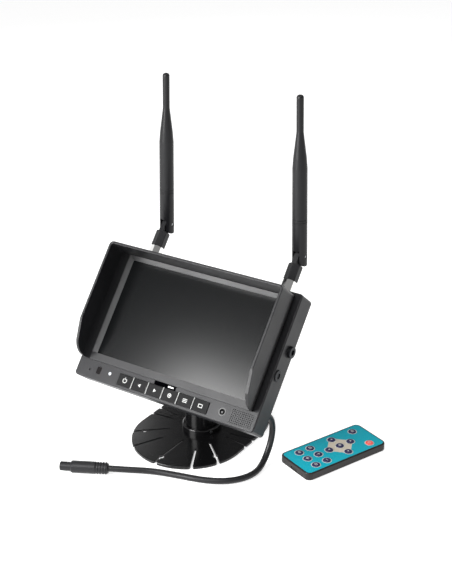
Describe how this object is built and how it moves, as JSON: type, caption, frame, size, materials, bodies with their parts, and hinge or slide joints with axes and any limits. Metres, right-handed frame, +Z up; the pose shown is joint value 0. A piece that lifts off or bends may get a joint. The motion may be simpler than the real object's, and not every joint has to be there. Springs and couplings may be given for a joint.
{
  "type": "vehicle rear-view monitor kit",
  "caption": "Wireless rear-view monitor with sun hood and two hinged antennas on a tilting fan-base stand, with pigtail lead and card remote control.",
  "frame": {"origin": "on the post's axis, at the underside of the fan base, where the kit rests", "axes": "+Z up along the post; -Y towards the viewer of the screen; +X to the viewer's right, along the tilt axis"},
  "size_m": [0.2465, 0.1935, 0.3002],
  "materials": {
    "case_black": "fine satin grain",
    "hood_black": "fine satin grain",
    "stand_black": "high gloss",
    "knob_black": "satin",
    "key_black": "satin with light icons",
    "screen_glass": "smoked, mirror smooth",
    "display_dark": "dark when off",
    "board_green": "solder mask",
    "speaker_black": "dull",
    "led_white": "clear, unlit",
    "infra_red_filter": "very dark red",
    "steel_screw": "plain steel",
    "screw_black": "black oxide",
    "chrome_nut": "bright plated",
    "antenna_black": "satin",
    "lead_rubber": "soft satin",
    "remote_black": "satin",
    "remote_teal": "printed film",
    "remote_key_navy": "satin with light icons",
    "remote_key_red": "satin with a light icon",
    "cell_steel": "plain steel"
  },
  "bodies": {
    "stand_base": {"fan_base": "stand_black", "post_hub": "stand_black", "hub_screws": "screw_black", "pan_lock_screw": "steel_screw"},
    "swivel": {"swivel_post": "stand_black", "tilt_bolt": "steel_screw", "cable": "lead_rubber", "cable_plug": "lead_rubber"},
    "clamp_knob": {"tilt_knob": "knob_black"},
    "monitor": {"mount_shoe": "case_black", "mount_rail": "case_black", "front_shell": "case_black", "rear_cover": "case_black", "screen_glass": "screen_glass", "lcd_panel": "display_dark", "main_board": "board_green", "key_board": "board_green", "speaker": "speaker_black", "speaker_grille": "case_black", "status_led": "led_white", "ir_window": "infra_red_filter", "light_sensor": "infra_red_filter", "side_screws": "screw_black", "cover_screws": "steel_screw", "cable_gland": "lead_rubber", "antenna_sockets": "chrome_nut"},
    "key_power_cap": {"key_power": "key_black"},
    "key_left_cap": {"key_left": "key_black"},
    "key_right_cap": {"key_right": "key_black"},
    "key_ok_cap": {"key_ok": "key_black"},
    "key_menu_cap": {"key_menu": "key_black"},
    "key_select_cap": {"key_select": "key_black"},
    "hood": {"sun_hood": "hood_black"},
    "latch": {"hood_latch": "hood_black"},
    "antenna_foot_left": {"antenna_nut_left": "chrome_nut", "antenna_sleeve_left": "antenna_black", "antenna_pin_left": "steel_screw"},
    "antenna_whip_left": {"antenna_blade_left": "antenna_black"},
    "antenna_foot_right": {"antenna_nut_right": "chrome_nut", "antenna_sleeve_right": "antenna_black", "antenna_pin_right": "steel_screw"},
    "antenna_whip_right": {"antenna_blade_right": "antenna_black"},
    "remote": {"remote_shell": "remote_black", "remote_face": "remote_teal", "remote_board": "board_green"},
    "battery_drawer": {"battery_tray": "remote_black", "coin_cell": "cell_steel"},
    "remote_button_mode": {"remote_key_mode": "remote_key_navy"},
    "remote_button_power": {"remote_key_power": "remote_key_red"},
    "remote_button_up": {"remote_key_up": "remote_key_navy"},
    "remote_button_left": {"remote_key_left": "remote_key_navy"},
    "remote_button_centre": {"remote_key_centre": "remote_key_navy"},
    "remote_button_right": {"remote_key_right": "remote_key_navy"},
    "remote_button_down": {"remote_key_down": "remote_key_navy"},
    "remote_button_1": {"remote_key_1": "remote_key_navy"},
    "remote_button_2": {"remote_key_2": "remote_key_navy"},
    "remote_button_3": {"remote_key_3": "remote_key_navy"},
    "remote_button_4": {"remote_key_4": "remote_key_navy"},
    "remote_button_5": {"remote_key_5": "remote_key_navy"},
    "remote_button_6": {"remote_key_6": "remote_key_navy"}
  },
  "joints": [
    {"name": "pan", "type": "hinge", "parent": "stand_base", "child": "swivel", "pos_m": [0, 0, 0.005], "axis": [0, 0, 1], "range_deg": [-90, 12]},
    {"name": "clamp_knob_spin", "type": "hinge", "parent": "swivel", "child": "clamp_knob", "pos_m": [0.018, 0, 0.062], "axis": [1, 0, 0], "continuous": true},
    {"name": "tilt", "type": "hinge", "parent": "swivel", "child": "monitor", "pos_m": [0, 0, 0.062], "axis": [-1, 0, 0], "range_deg": [-40, 35], "deforming": ["cable"]},
    {"name": "key_power_press", "type": "slide", "parent": "monitor", "child": "key_power_cap", "axis": [0, 0.766, -0.6428], "range_m": [0, 0.0008], "stiffness_N_per_m": 400},
    {"name": "key_left_press", "type": "slide", "parent": "monitor", "child": "key_left_cap", "axis": [0, 0.766, -0.6428], "range_m": [0, 0.0008], "stiffness_N_per_m": 400},
    {"name": "key_right_press", "type": "slide", "parent": "monitor", "child": "key_right_cap", "axis": [0, 0.766, -0.6428], "range_m": [0, 0.0008], "stiffness_N_per_m": 400},
    {"name": "key_ok_press", "type": "slide", "parent": "monitor", "child": "key_ok_cap", "axis": [0, 0.766, -0.6428], "range_m": [0, 0.0008], "stiffness_N_per_m": 400},
    {"name": "key_menu_press", "type": "slide", "parent": "monitor", "child": "key_menu_cap", "axis": [0, 0.766, -0.6428], "range_m": [0, 0.0008], "stiffness_N_per_m": 400},
    {"name": "key_select_press", "type": "slide", "parent": "monitor", "child": "key_select_cap", "axis": [0, 0.766, -0.6428], "range_m": [0, 0.0008], "stiffness_N_per_m": 400},
    {"name": "hood_pull", "type": "slide", "parent": "monitor", "child": "hood", "axis": [0, -0.766, 0.6428], "range_m": [0, 0.03]},
    {"name": "latch_press", "type": "slide", "parent": "monitor", "child": "latch", "axis": [0, -0.6428, -0.766], "range_m": [0, 0.0008], "stiffness_N_per_m": 300},
    {"name": "antenna_swivel_left", "type": "hinge", "parent": "monitor", "child": "antenna_foot_left", "pos_m": [-0.0685, 0.03212, 0.14275], "axis": [0, 0.6428, 0.766], "range_deg": [-93, 25]},
    {"name": "antenna_elbow_left", "type": "hinge", "parent": "antenna_foot_left", "child": "antenna_whip_left", "pos_m": [-0.0685, 0.04999, 0.16404], "axis": [0.9986, 0.0401, -0.0336], "range_deg": [-40, 50]},
    {"name": "antenna_swivel_right", "type": "hinge", "parent": "monitor", "child": "antenna_foot_right", "pos_m": [0.0685, 0.03212, 0.14275], "axis": [0, 0.6428, 0.766], "range_deg": [-27, 91]},
    {"name": "antenna_elbow_right", "type": "hinge", "parent": "antenna_foot_right", "child": "antenna_whip_right", "pos_m": [0.0685, 0.04999, 0.16404], "axis": [0.9998, -0.0134, 0.0112], "range_deg": [-40, 50]},
    {"name": "remote_lift", "type": "slide", "parent": "stand_base", "child": "remote", "axis": [0, 0, 1], "range_m": [0, 0.05]},
    {"name": "battery_drawer_pull", "type": "slide", "parent": "remote", "child": "battery_drawer", "axis": [-0.3665, -0.9304, 0], "range_m": [0, 0.018]},
    {"name": "remote_mode_press", "type": "slide", "parent": "remote", "child": "remote_button_mode", "axis": [0, 0, -1], "range_m": [0, 0.0004], "stiffness_N_per_m": 300},
    {"name": "remote_power_press", "type": "slide", "parent": "remote", "child": "remote_button_power", "axis": [0, 0, -1], "range_m": [0, 0.0004], "stiffness_N_per_m": 300},
    {"name": "remote_up_press", "type": "slide", "parent": "remote", "child": "remote_button_up", "axis": [0, 0, -1], "range_m": [0, 0.0004], "stiffness_N_per_m": 300},
    {"name": "remote_left_press", "type": "slide", "parent": "remote", "child": "remote_button_left", "axis": [0, 0, -1], "range_m": [0, 0.0004], "stiffness_N_per_m": 300},
    {"name": "remote_centre_press", "type": "slide", "parent": "remote", "child": "remote_button_centre", "axis": [0, 0, -1], "range_m": [0, 0.0004], "stiffness_N_per_m": 300},
    {"name": "remote_right_press", "type": "slide", "parent": "remote", "child": "remote_button_right", "axis": [0, 0, -1], "range_m": [0, 0.0004], "stiffness_N_per_m": 300},
    {"name": "remote_down_press", "type": "slide", "parent": "remote", "child": "remote_button_down", "axis": [0, 0, -1], "range_m": [0, 0.0004], "stiffness_N_per_m": 300},
    {"name": "remote_1_press", "type": "slide", "parent": "remote", "child": "remote_button_1", "axis": [0, 0, -1], "range_m": [0, 0.0004], "stiffness_N_per_m": 300},
    {"name": "remote_2_press", "type": "slide", "parent": "remote", "child": "remote_button_2", "axis": [0, 0, -1], "range_m": [0, 0.0004], "stiffness_N_per_m": 300},
    {"name": "remote_3_press", "type": "slide", "parent": "remote", "child": "remote_button_3", "axis": [0, 0, -1], "range_m": [0, 0.0004], "stiffness_N_per_m": 300},
    {"name": "remote_4_press", "type": "slide", "parent": "remote", "child": "remote_button_4", "axis": [0, 0, -1], "range_m": [0, 0.0004], "stiffness_N_per_m": 300},
    {"name": "remote_5_press", "type": "slide", "parent": "remote", "child": "remote_button_5", "axis": [0, 0, -1], "range_m": [0, 0.0004], "stiffness_N_per_m": 300},
    {"name": "remote_6_press", "type": "slide", "parent": "remote", "child": "remote_button_6", "axis": [0, 0, -1], "range_m": [0, 0.0004], "stiffness_N_per_m": 300}
  ]
}
